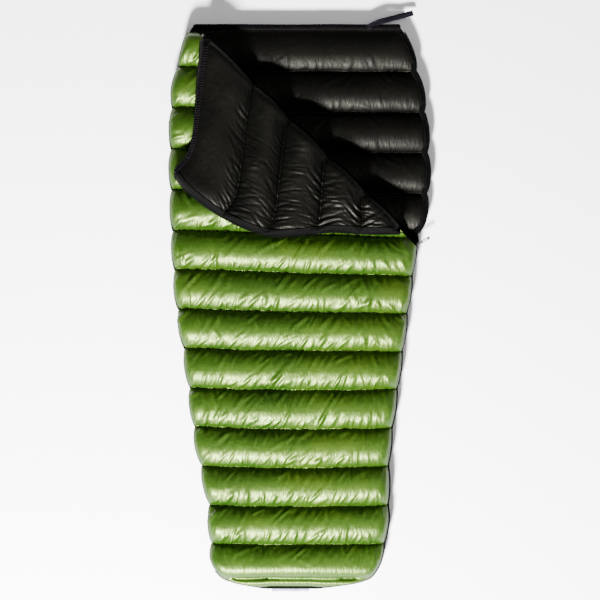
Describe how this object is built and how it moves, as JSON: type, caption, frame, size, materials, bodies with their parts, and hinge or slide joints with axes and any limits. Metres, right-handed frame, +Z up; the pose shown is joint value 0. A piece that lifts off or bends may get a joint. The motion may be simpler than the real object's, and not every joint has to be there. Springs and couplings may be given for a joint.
{
  "type": "camp quilt",
  "caption": "Baffled down camp quilt that zips shut as a semi-rectangular bag, shown with its head corner folded back over the top.",
  "frame": {"origin": "middle of the footprint, on the surface the quilt lies on", "axes": "+Y from the foot to the head, +X to the zip side, +Z up"},
  "size_m": [0.8892, 1.9776, 0.159],
  "materials": {
    "shell_nylon": "glossy calendered nylon, fine weave",
    "lining_nylon": "glossy calendered nylon, fine weave",
    "down": "loose down",
    "baffle_mesh": "fine mesh",
    "hem_binding": "folded nylon binding",
    "zip_tape": "woven tape",
    "zip_coil": "moulded coil",
    "nickel": "polished plated metal",
    "webbing": "flat woven webbing with a sheen",
    "hook_patch": "hook tape",
    "cord_braid": "braided cord",
    "label_satin": "satin label, blank",
    "tab_satin": "satin tape"
  },
  "bodies": {
    "bottom_quilt": {"bottom_shell": "shell_nylon", "bottom_lining": "lining_nylon", "side_gusset": "shell_nylon", "bottom_fill_01": "down", "bottom_fill_02": "down", "bottom_fill_03": "down", "bottom_fill_04": "down", "bottom_fill_05": "down", "bottom_fill_06": "down", "bottom_fill_07": "down", "bottom_fill_08": "down", "bottom_fill_09": "down", "bottom_fill_10": "down", "bottom_fill_11": "down", "bottom_fill_12": "down", "bottom_fill_13": "down", "bottom_fill_14": "down", "bottom_baffles": "baffle_mesh", "bottom_zip_tape": "zip_tape", "bottom_zip_coil": "zip_coil", "bottom_zip_stop": "nickel", "bottom_head_hem": "hem_binding", "closure_tab_base": "webbing", "foot_label": "label_satin", "foot_tab": "tab_satin"},
    "top_quilt": {"top_shell": "shell_nylon", "top_lining": "lining_nylon", "top_fill_01": "down", "top_fill_02": "down", "top_fill_03": "down", "top_fill_04": "down", "top_fill_05": "down", "top_fill_06": "down", "top_fill_07": "down", "top_fill_08": "down", "top_fill_09": "down", "top_fill_10": "down", "top_fill_11": "down", "top_fill_12": "down", "top_fill_13": "down", "top_fill_14": "down", "top_baffles": "baffle_mesh", "top_zip_tape": "zip_tape", "top_zip_coil": "zip_coil"},
    "folded_corner": {"flap_shell": "shell_nylon", "flap_lining": "lining_nylon", "flap_fill_01": "down", "flap_fill_02": "down", "flap_fill_03": "down", "flap_fill_04": "down", "flap_baffles": "baffle_mesh", "flap_zip_tape": "zip_tape", "flap_zip_coil": "zip_coil", "flap_zip_stop": "nickel", "flap_head_hem": "hem_binding", "hem_drawcord": "cord_braid"},
    "zip_slider": {"zip_slider": "nickel"},
    "zip_pull": {"zip_pull": "nickel"},
    "closure_tab": {"closure_tab_strap": "webbing", "tab_hook_patch": "hook_patch"}
  },
  "joints": [
    {"name": "top_opening", "type": "hinge", "parent": "bottom_quilt", "child": "top_quilt", "pos_m": [-0.42806, -0.02253, 0.0505], "axis": [0.0499, -0.9988, 0], "range_deg": [0, 160]},
    {"name": "corner_fold", "type": "hinge", "parent": "top_quilt", "child": "folded_corner", "pos_m": [0.03838, 0.55047, 0.1108], "axis": [-0.7157, 0.6984, 0], "range_deg": [0, 180]},
    {"name": "zip_travel", "type": "slide", "parent": "bottom_quilt", "child": "zip_slider", "axis": [-0.1292, -0.9916, 0], "range_m": [0, 0.6592]},
    {"name": "pull_swing", "type": "hinge", "parent": "zip_slider", "child": "zip_pull", "pos_m": [0.40776, 0.18918, 0.04645], "axis": [0.5087, -0.861, 0], "range_deg": [0, 90]},
    {"name": "tab_bend", "type": "hinge", "parent": "bottom_quilt", "child": "closure_tab", "pos_m": [0.27015, 0.94449, 0.0426], "axis": [0.2756, -0.9613, 0], "range_deg": [0, 110]}
  ]
}
